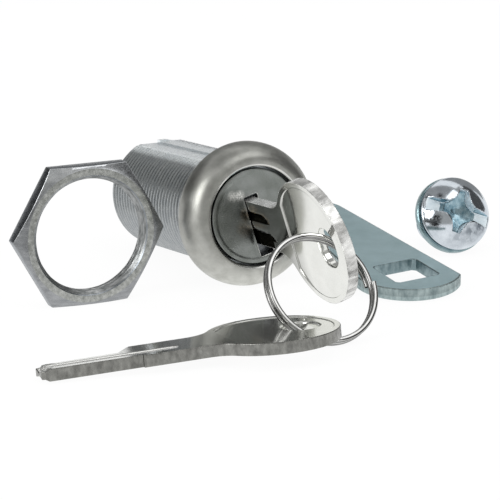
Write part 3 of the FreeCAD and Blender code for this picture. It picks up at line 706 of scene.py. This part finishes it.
def add_plate(shape, outer, holes, top, low, edges, lines_top=(), lines_low=(), step=0.6, kinds=(0, 1, 2)):
    """Plate between two height fields, with rounded edges. outer and holes are (points, normals) pairs that keep
    the material on their left; edges gives the edge radius of each loop; lines are extra contours that the faces
    keep; kinds are the material numbers of the faces, the outer side and the holes."""
    tops = []
    lows = []
    for i, (loop, radius) in enumerate(zip([outer] + holes, edges)):
        tops.append(edge_rows(shape, loop, radius, 1, top))
        lows.append(edge_rows(shape, loop, radius, -1, low))
    for i, (t, b) in enumerate(zip(tops, lows)):
        kind = kinds[1] if i == 0 else kinds[2]
        shape.grid([b[0], t[0]], kind)
        shape.grid(t, kind)
        shape.grid(b[::-1], kind)
    add_sheet(shape, [t[-1] for t in tops], 1, top, lines_top, step, kinds[0])
    add_sheet(shape, [b[-1] for b in lows], -1, low, lines_low, step, kinds[0])


def add_lathe(shape, pts, nrm, count, kinds=0, wrap=False):
    """Turns a path of (radius, z) about the local z axis; its left-hand side is outside."""
    rows = []
    for (r, z), (nr, nz) in zip(pts, nrm):
        row = []
        for k in range(count):
            a = math.radians(360.0 * k / count)
            row.append(shape.vert((r * math.cos(a), r * math.sin(a), z), (nr * math.cos(a), nr * math.sin(a), nz)))
        rows.append(row)
    if wrap:
        rows.append(rows[0])
    shape.grid(rows, kinds, flip=True)


def turned_over(pts, nrm):
    """The same path run the other way, with its other side outside."""
    return pts[::-1], [(-a, -b) for a, b in nrm[::-1]]


# Keys: one outline, two coined faces, milled grooves with pointed run-outs, rounded ring hole

KEY_HALF = KEY_T / 2
PANEL_R = BOW_R - 0.95
PANEL_SINK = 0.11
CREASE_X = 30.1
CREASE_SINK = 0.12
CREASE_RUN = 4.6
WALL = 0.12
TIP_STEP_X = 1.0
TIP_SINK = 0.33
NOSE = ((0.0, -1.0), (1.1, KEY_TOP), (0.45, 2.42), (0.0, 2.1))
SHOULDER_X = 15.3
CUT_LAND = 0.25
KEY_RUN = 0.05
LEDGE_END = 23.2
LEDGE_RUN = 0.4
# Each groove: low edge, high edge, where its run-out starts, and its tip
GROOVES_TOP = ((-0.42, 1.17, 21.2, 23.6), (-3.35, -2.06, 21.9, 24.7))
GROOVES_LOW = ((-0.25, 1.15, 18.8, 22.0),)
GROOVE_START = 0.4
GROOVE_D = 0.45
GROOVE_WALL = 0.16


def fillet_to_bow(y_line, r):
    """Arc from a neck line to the bow, hollow side outwards: its centre, and its angle where it meets the bow."""
    cy = y_line + r
    dy = cy - BOW_Y
    far = BOW_R + abs(r)
    dx = math.sqrt(far * far - dy * dy)
    return BOW_X - dx, cy, math.degrees(math.atan2(BOW_Y - cy, dx))


def key_outline():
    """From the tip along the stepped lower edge, round the bow and back along the upper edge."""
    top_c = fillet_to_bow(NECK_TOP, FILLET_TOP)
    low_c = fillet_to_bow(NECK_LOW, -FILLET_LOW)
    pts = [NOSE[0], (0.8, TIP_LOW), (CUT_START, TIP_LOW - CUT_SLOPE * CUT_START)]
    seg = (CUT_END - CUT_START) / WAFER_N
    for i in range(WAFER_N):
        x0 = CUT_START + seg * i
        y0 = TIP_LOW - CUT_SLOPE * x0
        pts += [(x0 + CUT_LAND, y0), (x0 + seg - CUT_LAND, y0 + 0.02)]
    pts += [(CUT_END, TIP_LOW - CUT_SLOPE * CUT_END), (SHOULDER_X, KEY_LOW), (KEY_INSERT, KEY_LOW - 0.02),
            (KEY_INSERT + KEY_RUN, NECK_LOW), (LEDGE_END, NECK_LOW), (LEDGE_END + LEDGE_RUN, NECK_LOW)]
    pts += arc(low_c[0], low_c[1], FILLET_LOW, 90.0, low_c[2], 8)
    a0 = math.degrees(math.atan2(low_c[1] - BOW_Y, low_c[0] - BOW_X))
    a1 = math.degrees(math.atan2(top_c[1] - BOW_Y, top_c[0] - BOW_X))
    pts += arc(BOW_X, BOW_Y, BOW_R, a0 % 360.0 - 360.0, a1 % 360.0, 90)[1:]
    pts += arc(top_c[0], top_c[1], FILLET_TOP, top_c[2], -90.0, 8)[1:]
    pts += [(KEY_INSERT - KEY_RUN, NECK_TOP), (KEY_INSERT, KEY_TOP), *NOSE[1:]]
    return pts


def groove_high(x, y0, y1, end, tip):
    """High edge of a groove; in the run-out it curves down to meet the low edge at the tip."""
    t = min(1.0, max(0.0, (x - end) / (tip - end)))
    return y0 + (y1 - y0) * math.sqrt(1 - t * t)


def groove_depth(x, y, groove):
    y0, y1, end, tip = groove
    if x >= tip:
        return 0.0
    high = groove_high(x, y0, y1, end, tip)
    t = max(0.0, (x - end) / (tip - end))
    return GROOVE_D * math.sqrt(1 - t * t) * ease(min(y - y0, high - y) / GROOVE_WALL)


def grooves_depth(x, y, up):
    if up < 0:
        return groove_depth(x, y, GROOVES_LOW[0])
    ledge = GROOVE_D * ease((GROOVES_TOP[1][1] - y) / GROOVE_WALL) * ease((LEDGE_END + LEDGE_RUN - x) / LEDGE_RUN)
    return max(ledge, groove_depth(x, y, GROOVES_TOP[0]), groove_depth(x, y, GROOVES_TOP[1]))


def groove_lines(groove):
    """Contours at the top, the middle and the foot of a groove's walls."""
    y0, y1, end, tip = groove
    lines = []
    for inset in (0.0, GROOVE_WALL / 2, GROOVE_WALL):
        upper = []
        lower = []
        xs = [GROOVE_START + (end - GROOVE_START) * k / 15 for k in range(16)]
        xs += [end + (tip - end) * (1 - (1 - k / 10) ** 1.8) for k in range(1, 11)]
        for x in xs:
            high = groove_high(x, y0, y1, end, tip) - inset
            if high - y0 - inset <= 0.02:
                break
            upper.append((x, high))
            lower.append((x, y0 + inset))
        lines.append((lower + upper[::-1], False))
    return lines


def key_face(x, y, up):
    """Half thickness of a key: thin tip, sunk bow panel with a deeper crease at the neck, and the grooves."""
    z = KEY_HALF - TIP_SINK * ease((TIP_STEP_X - x) / WALL)
    r = math.hypot(x - BOW_X, y - BOW_Y)
    inner = min(ease((PANEL_R - r) / WALL), ease((x - CREASE_X) / WALL))
    z -= inner * (PANEL_SINK + CREASE_SINK * (1 - ease((x - CREASE_X) / CREASE_RUN)))
    return z - grooves_depth(x, y, up)


def panel_lines():
    lines = []
    for inset in (-0.05, 0.0, WALL / 2, WALL, WALL + 0.05):
        r = PANEL_R - inset
        a = math.degrees(math.acos((CREASE_X + inset - BOW_X) / r))
        lines.append((arc(BOW_X, BOW_Y, r, -a, a, 72), True))
    return lines


def make_key(name, place, body, polish, edge, groove):
    outer = rounded(divided(key_outline(), 1.2), 0.16)
    straight = (HOLE_H - HOLE_W) / 2
    r = HOLE_W / 2
    ring = arc(HOLE_X, HOLE_Y + straight, r, 180.0, 0.0, 16) + arc(HOLE_X, HOLE_Y - straight, r, 0.0, -180.0, 16)
    tip = [([(TIP_STEP_X - k, -1.0 + 0.5 * i) for i in range(7)], False) for k in (0.0, WALL)]
    ledge = [([(LEDGE_END + k, y) for y in (-3.3, -4.0, -4.8)], False) for k in (0.0, LEDGE_RUN / 2, LEDGE_RUN)]
    lines_top = panel_lines() + groove_lines(GROOVES_TOP[0]) + groove_lines(GROOVES_TOP[1]) + ledge + tip
    lines_low = panel_lines() + groove_lines(GROOVES_LOW[0]) + tip

    def finish(x, y, up):
        return 3 if grooves_depth(x, y, up) > 0.02 else 0

    s = Shape()
    add_plate(s, outer, [rounded(ring, 0.0)], lambda x, y: key_face(x, y, 1), lambda x, y: -key_face(x, y, -1),
              (0.13, 0.45), lines_top, lines_low, 0.7, kinds=(finish, 1, 2))
    s.make(name, place, [polish, edge, polish, groove], body, [body])


make_key("key_1_blank", key_1_place, "key_1", key_1_polish, key_1_edge_lit, key_1_groove_shade)
make_key("key_2_blank", key_2_place, "key_2", key_2_polish, key_2_edge, key_2_groove)


# Bezel: domed cap with a rolled, polished lip at the plug's gap

WELL_R = HEAD_R + HEAD_GAP
LIP_R = 0.42
lip = [(WELL_R, BEZEL_H - BEZEL_SKIN), (WELL_R, BEZEL_H - 0.45)]
lip += [(WELL_R + LIP_R - LIP_R * math.cos(math.radians(a)), BEZEL_H - LIP_R + LIP_R * math.sin(math.radians(a)))
        for a in (10, 25, 40, 55, 70, 85)]
DOME_STEPS = 28
turns = [math.pi / 2 * k / DOME_STEPS for k in range(DOME_STEPS + 1)]
dome = [(DOME_R + (BEZEL_R - DOME_R) * math.sin(a), BEZEL_EDGE + (BEZEL_H - BEZEL_EDGE) * math.cos(a)) for a in turns]
skirt = [(BEZEL_R, 0.25), (BEZEL_R - 0.06, 0.08), (BEZEL_R - 0.22, 0.0), (BEZEL_R - BEZEL_SKIN, 0.0),
         (BEZEL_R - BEZEL_SKIN, 0.6)]
pts, nrm = rounded(lip + dome + skirt, 0.05, 3, closed=False, sharp=50.0)
s = Shape()
add_lathe(s, pts, nrm, 180, [1 if p[0] < WELL_R + 0.33 else 0 for p in pts[:-1]])
s.make("bezel_dome", lock_place, [satin_bezel, lip_polish], "housing", ["bezel_cap"])


# Plug face: rolled rim, slight crown and a keyhole whose left edge is pressed inwards

RIM_R = 7.35
RIM_RUN = 0.55
RIM_DROP = 0.10
CROWN = 0.05
CROWN_R = 5.5
CROWN_RUN = 4.0
MOUTH_H = MOUTH_Y1 - MOUTH_Y0
MOUTH_PRESSED = 0.16
MOUTH_WAVE = 0.06
MOUTH_CORNER = 0.25
VALLEY = 0.12
VALLEY_OFF = 0.45
VALLEY_HALF = 0.42
FACE_SKIN = 0.30


def mouth_edge(y):
    """Left edge of the keyhole, with the wave that the press left in it."""
    t = (y - MOUTH_Y0) / MOUTH_H
    return MOUTH_X0 + MOUTH_PRESSED + MOUTH_WAVE * math.sin(2.2 * math.pi * t + 0.5) * math.sin(math.pi * t)


def cap_top(x, y):
    r = math.hypot(x, y)
    z = FACE_Z - RIM_DROP * ease((RIM_R - r) / RIM_RUN) + CROWN * ease((CROWN_R - r) / CROWN_RUN)
    t = (y - MOUTH_Y0) / MOUTH_H
    if 0.0 < t < 1.0 and x < 0.2:
        off = (max(0.0, mouth_edge(y) - x) - VALLEY_OFF) / VALLEY_HALF
        z -= VALLEY * math.sin(math.pi * t) ** 0.5 * math.exp(-off ** 2) * (0.6 + 0.4 * math.sin(9.0 * t))
    return z


left_edge = [(mouth_edge(y), y) for y in (MOUTH_Y0 + MOUTH_H * k / 22 for k in range(23))]
right_edge = [(MOUTH_X1, MOUTH_Y1), (MOUTH_X1, MOUTH_Y0)]
hole = rounded(divided(left_edge + right_edge, 0.9), MOUTH_CORNER)
outer = rounded(arc(0.0, 0.0, HEAD_R, 0.0, 357.5, 143), 0.0)
funnel = [([(p[0] - k, p[1]) for p in left_edge], False) for k in (0.25, 0.5, 0.8, 1.15)]
rims = [(arc(0.0, 0.0, r, 0.0, 356.0, 89), True) for r in (RIM_R, 7.17, 6.98, 6.8)]
s = Shape()
add_plate(s, outer, [hole], cap_top, lambda x, y: cap_top(x, y) - FACE_SKIN, (0.28, 0.11), funnel + rims, [], 0.5)
side_r = HEAD_R - 0.01
side_low = HEAD_SEAT + 0.4
side = [(HEAD_R - FACE_SKIN, side_low), (side_r, side_low), (side_r, FACE_Z - 0.45)]
add_lathe(s, *turned_over(*rounded(side, 0.05, 2, closed=False)), 144, 1)
s.make("plug_face", plug_place, [satin_face, satin_face, lip_polish], "plug_body", ["plug_cap"])


# Split ring: two turns of flattened wire with squared ends

RING_MEAN_R = 8.95
RING_PITCH = 1.04
RING_STEPS = 300
WIRE_R = 0.45
WIRE_A = 0.37
WIRE_SIDES = 20
WIRE_POWER = 0.80  # 1 gives an oval section, less a squarer one


def make_ring():
    s = Shape()
    rows = []
    for i in range(RING_STEPS + 1):
        t = i / RING_STEPS
        a = 4 * math.pi * t
        radial = Vector((math.cos(a), math.sin(a), 0.0))
        along = Vector((-math.sin(a) * RING_MEAN_R, math.cos(a) * RING_MEAN_R, RING_PITCH / (2 * math.pi)))
        up = radial.cross(along.normalized())
        mid = radial * RING_MEAN_R + Vector((0.0, 0.0, RING_PITCH * (2 * t - 1)))
        row = []
        for k in range(WIRE_SIDES):
            b = 2 * math.pi * (k + 0.5) / WIRE_SIDES
            c, d = math.cos(b), math.sin(b)
            x = WIRE_R * math.copysign(abs(c) ** WIRE_POWER, c)
            y = WIRE_A * math.copysign(abs(d) ** WIRE_POWER, d)
            n = (radial * (math.copysign(abs(c) ** (2 - WIRE_POWER), c) / WIRE_R)
                 + up * (math.copysign(abs(d) ** (2 - WIRE_POWER), d) / WIRE_A))
            row.append(s.vert(mid + radial * x + up * y, n))
        rows.append(row)
    # The flanks get the darker copy of the chrome: painted shade
    flank = [1 if abs(math.cos(2 * math.pi * (k + 1.0) / WIRE_SIDES)) > 0.80 else 0 for k in range(WIRE_SIDES)]
    for i in range(RING_STEPS):
        for k in range(WIRE_SIDES):
            j = (k + 1) % WIRE_SIDES
            s.face([rows[i][k], rows[i + 1][k], rows[i + 1][j], rows[i][j]], flank[k])
    for row, sign in ((rows[0], 1.0), (rows[-1], -1.0)):
        end = [s.vert(Vector(s.verts[v]) / MM, (0.0, -sign, 0.0)) for v in row]
        s.face(end[::-1] if sign > 0 else end)
    s.make("ring_wire", ring_place, [chrome, wire_flank_shade], "split_ring", ["split_ring"])


make_ring()


# Nut: six flats, a turned chamfer on the front, a chamfered bore and its thread

NUT_HALF = 2.8 / 2
NUT_ACROSS = 22.9 / 2
NUT_CORNER = NUT_ACROSS / math.cos(math.pi / 6)
CONE_R = 22.06 / 2
CONE_SLOPE = 0.40
BORE_FRONT_R = 9.95
BORE_BACK_R = 9.65
CREST_R = THREAD_R - 0.30
ROOT_R = THREAD_R + 0.08
BORE_LEVELS = 56
FACE_RING_FRONT, FACE_RING_BACK = 10.4, 10.6  # rows that keep the flat faces' quads even
RIM_BREAK = 0.07


def make_nut():
    hexagon = [(NUT_CORNER * math.cos(math.radians(60 * k)), NUT_CORNER * math.sin(math.radians(60 * k)))
               for k in range(6)]
    pts, nrm = rounded(divided(hexagon, 0.55), 0.15)
    polar = [(math.hypot(*p), math.atan2(p[1], p[0])) for p in pts]
    s = Shape()

    def ring(radius, height):
        """A row of points round the nut; radius may depend on how far out the hexagon is, and height on radius."""
        row = []
        for far, a in polar:
            r = radius(far) if callable(radius) else radius
            row.append(s.vert((r * math.cos(a), r * math.sin(a), height(r))))
        return row

    def rim(inset, height):
        """A row along the hexagon, moved inwards."""
        return [s.vert((p[0] + n[0] * inset, p[1] + n[1] * inset, height(far)))
                for p, n, (far, a) in zip(pts, nrm, polar)]

    def level(z):
        return lambda r: z

    def cone(r):
        return NUT_HALF - max(0.0, r - CONE_R) * CONE_SLOPE

    front = [ring(BORE_FRONT_R, level(NUT_HALF)), ring(FACE_RING_FRONT, level(NUT_HALF)),
             ring(CONE_R, level(NUT_HALF)), ring(lambda far: CONE_R + 0.5 * (far - RIM_BREAK - CONE_R), cone),
             rim(RIM_BREAK, lambda far: cone(far - RIM_BREAK)), rim(0.02, lambda far: cone(far) - 0.03),
             rim(0.0, lambda far: cone(far) - 0.08)]
    s.grid(front, [0, 0, 3, 3, 3, 3], flip=True)
    back = [rim(0.0, level(-NUT_HALF + 0.08)), rim(0.02, level(-NUT_HALF + 0.02)), rim(0.08, level(-NUT_HALF)),
            ring(FACE_RING_BACK, level(-NUT_HALF)), ring(BORE_BACK_R, level(-NUT_HALF))]
    s.grid([front[-1], back[0]], 1, flip=True)
    s.grid(back, 0, flip=True)
    # Bore, from the front face inwards, with a helical thread
    bore = [front[0]]
    for i in range(1, BORE_LEVELS):
        z = NUT_HALF - 2 * NUT_HALF * i / BORE_LEVELS
        row = []
        for far, a in polar:
            turn = (z / THREAD_PITCH + a / (2 * math.pi)) % 1.0
            r = CREST_R + (ROOT_R - CREST_R) * ease((abs(turn - 0.5) * 2 - 0.25) / 0.55)
            r = max(r, BORE_FRONT_R - (NUT_HALF - z), BORE_BACK_R - (z + NUT_HALF))
            row.append(s.vert((r * math.cos(a), r * math.sin(a), z)))
        bore.append(row)
    s.grid(bore + [back[-1]], [1] * 3 + [2] * (BORE_LEVELS - 3), flip=True)
    s.make("nut_hex", nut_place, [nut_metal, nut_side, nut_bore, nut_bevel], "nut", ["nut"],
           own_normals=False)


make_nut()


# Cam: pressed plate with rolled edges, sheared sides and a square hole

CAM_T = 2.1
CAM_R = 9.0
CAM_TOP = (-14.3, 37.2)
CAM_TOP_R = 5.0
CAM_CORNER = (8.1, 7.2)
SQUARE_HALF = 4.1
SQUARE_CORNER_R = 5.45
SQUARE_AT = (-0.2, 8.6)
SQUARE_TURN = 28.0


def cam_outline():
    """Small end, the long straight edges and the wide end with its sharp corner."""
    dx, dy = CAM_CORNER[0] - CAM_TOP[0], CAM_CORNER[1] - CAM_TOP[1]
    t1 = math.degrees(math.atan2(dy, dx) + math.acos(CAM_TOP_R / math.hypot(dx, dy)))
    dx, dy = -CAM_TOP[0], CAM_R - CAM_TOP[1]
    t2 = math.degrees(math.atan2(dy, dx) - math.acos((CAM_TOP_R - CAM_R) / math.hypot(dx, dy)))
    while t2 < t1:
        t2 += 360.0
    low = t2 % 360.0
    high = math.degrees(math.atan2(CAM_CORNER[1] - CAM_R, CAM_CORNER[0])) % 360.0
    if low > high:
        low -= 360.0
    return arc(CAM_TOP[0], CAM_TOP[1], CAM_TOP_R, t1, t2, 24) + arc(0.0, CAM_R, CAM_R, low, high, 48)


def make_cam():
    half = math.degrees(math.atan2(math.sqrt(SQUARE_CORNER_R ** 2 - SQUARE_HALF ** 2), SQUARE_HALF))
    square = [arc(0.0, 0.0, SQUARE_CORNER_R, 90 * k - half, 90 * k + half, 1) for k in range(4)]
    c, d = math.cos(math.radians(SQUARE_TURN)), math.sin(math.radians(SQUARE_TURN))
    square = [(x * c - y * d + SQUARE_AT[0], x * d + y * c + SQUARE_AT[1]) for side in square for x, y in side][::-1]
    s = Shape()
    outer = rounded(divided(cam_outline(), 1.0), 0.35)
    hole = rounded(divided(square, 0.7), 0.2, 3, sharp=20.0)
    add_plate(s, outer, [hole], lambda x, y: CAM_T, lambda x, y: 0.0, (0.22, 0.16), [], [], 1.2)
    s.make("cam_plate", cam_place, [zinc_plate, zinc_sheared, zinc_hole], "cam", ["cam"])


make_cam()


# Screw: domed head with a slot and a cross recess, threaded shank

SCREW_R = 6.4
SCREW_TOP = 4.3
SCREW_SKIRT = 1.3
SPHERE_R = (SCREW_R ** 2 + (SCREW_TOP - SCREW_SKIRT) ** 2) / (2 * (SCREW_TOP - SCREW_SKIRT))
RECESS_TURN = math.radians(-22.0)
RECESS_D = 3.4
ARM_END = 3.95
ARM_CORNER = 1.70
ARM_HALF = 0.68
ARM_CURVE = 2.9
SLOT_HALF = 1.12
SLOT_D = 2.55
WALL_RUN = 0.12
DOME_EDGE = 0.12
# How far along the cross's arms the recess keeps its painted shade
RECESS_SHADE_END = 3.3
SKIRT_TUCK = 0.945
SHANK_R = 2.65
SHANK_LEN = 9.98
SCREW_THREAD = (-9.4, -1.6)
SCREW_PITCH = 1.0
# Height over the start of a turn, and radius
SCREW_PROFILE = ((0.0, 2.45), (0.36, 2.94), (0.50, 2.98), (0.62, 2.94), (0.96, 2.45))


def recess_axes(x, y):
    c, d = math.cos(RECESS_TURN), math.sin(RECESS_TURN)
    return x * c + y * d, -x * d + y * c


def dome_height(x, y):
    return SCREW_TOP - SPHERE_R + math.sqrt(max(0.1, SPHERE_R ** 2 - x * x - y * y))


def arm_half(q):
    """Half the width of the cross's arms, which narrow outwards."""
    return max(ARM_HALF, ARM_CURVE / q)


def in_star(u, v):
    """How far a point lies inside the cross, and how far along an arm."""
    along, across = max(abs(u), abs(v)), min(abs(u), abs(v))
    return min(arm_half(max(along, ARM_CORNER)) - across, ARM_END - along), along


def head_surface(x, y):
    z = dome_height(x, y)
    u, v = recess_axes(x, y)
    slot_floor = min(z, SCREW_TOP - SLOT_D)
    z += (slot_floor - z) * ease((SLOT_HALF - abs(v)) / WALL_RUN)
    # The recess's floor is a shallow cone inside a steeper one
    q = math.hypot(u, v)
    floor_z = SCREW_TOP - RECESS_D + (0.2 * q if q < 1.0 else 0.2 + (q - 1.0) * 0.42)
    if floor_z < z:
        z += (floor_z - z) * ease(in_star(u, v)[0] / WALL_RUN)
    return z


def turned_line(points, closed=True):
    c, d = math.cos(RECESS_TURN), math.sin(RECESS_TURN)
    return [(u * c - v * d, u * d + v * c) for u, v in points], closed


def recess_lines():
    """Contours at the top, the middle and the foot of the slot's and the cross's walls."""
    lines = []
    for inset in (0.0, WALL_RUN / 2, WALL_RUN):
        for side in (1, -1):
            lines.append(turned_line([(-6.2 + 12.4 * k / 40, side * (SLOT_HALF - inset)) for k in range(41)], False))
        qs = [ARM_CORNER + (ARM_END - inset - ARM_CORNER) * k / 14 for k in range(15)]
        arm = [(q, -(arm_half(q) - inset)) for q in qs] + [(q, arm_half(q) - inset) for q in qs[::-1]]
        star = []
        for turn in range(4):
            star += arm
            arm = [(-q, p) for p, q in arm]
        lines.append(turned_line(star))
    return lines


def screw_finish(x, y, up):
    """0 on the dome, 1 in the recess with its painted shade, 2 on the slot's floor and the recess's walls with their
    painted highlight.
    """
    if up < 0 or head_surface(x, y) > dome_height(x, y) - DOME_EDGE:
        return 0
    u, v = recess_axes(x, y)
    star, along = in_star(u, v)
    if star > WALL_RUN and (along < RECESS_SHADE_END or abs(v) > abs(u)):
        return 1
    return 2 if star > 0 or abs(v) < SLOT_HALF - WALL_RUN else 1


def make_screw():
    s = Shape()
    outer = rounded(arc(0.0, 0.0, SCREW_R, 0.0, 357.5, 143), 0.0)
    add_plate(s, outer, [], head_surface, lambda x, y: 0.0, (0.16,), recess_lines(), [], 0.22, (screw_finish, 0, 0))
    # The skirt tucks in towards the washer
    for i, (x, y, z) in enumerate(s.verts):
        if math.hypot(x, y) > 6.0 * MM and z < 0.5 * MM:
            s.verts[i] = (x * SKIRT_TUCK, y * SKIRT_TUCK, z)
            n = s.normals[i]
            s.normals[i] = Vector((n.x, n.y, n.z - 0.7)).normalized()
    shank = [(0.0, -SHANK_LEN), (2.1, -SHANK_LEN), (2.45, -9.5)]
    z = SCREW_THREAD[0]
    while z < SCREW_THREAD[1]:
        shank += [(r, z + up) for up, r in SCREW_PROFILE]
        z += SCREW_PITCH
    shank += [(SHANK_R, -1.2), (SHANK_R, 0.02)]
    add_lathe(s, *turned_over(*rounded(shank, 0.05, 2, closed=False, sharp=60.0)), 64)
    s.make("screw_domed", screw_place, [screw_zinc, screw_recess_shade, screw_slot_highlight], "cam_screw",
           ["cam_screw"])


make_screw()


# Washer under the screw's head

WASHER_IN, WASHER_OUT = 3.25, 6.60
WASHER_TOP, WASHER_LOW = -0.05, -1.25
washer = [(WASHER_IN, WASHER_TOP - 0.13), (WASHER_IN, WASHER_LOW + 0.12), (WASHER_IN + 0.12, WASHER_LOW),
          (WASHER_OUT - 0.20, WASHER_LOW), (WASHER_OUT, WASHER_LOW + 0.17), (WASHER_OUT, WASHER_TOP - 0.17),
          (WASHER_OUT - 0.20, WASHER_TOP), (WASHER_IN + 0.12, WASHER_TOP)]
s = Shape()
add_lathe(s, *turned_over(*rounded(washer, 0.08, 3)), 120, wrap=True)
s.make("washer_ring", screw_place, [washer_zinc], "lock_washer", ["lock_washer"])
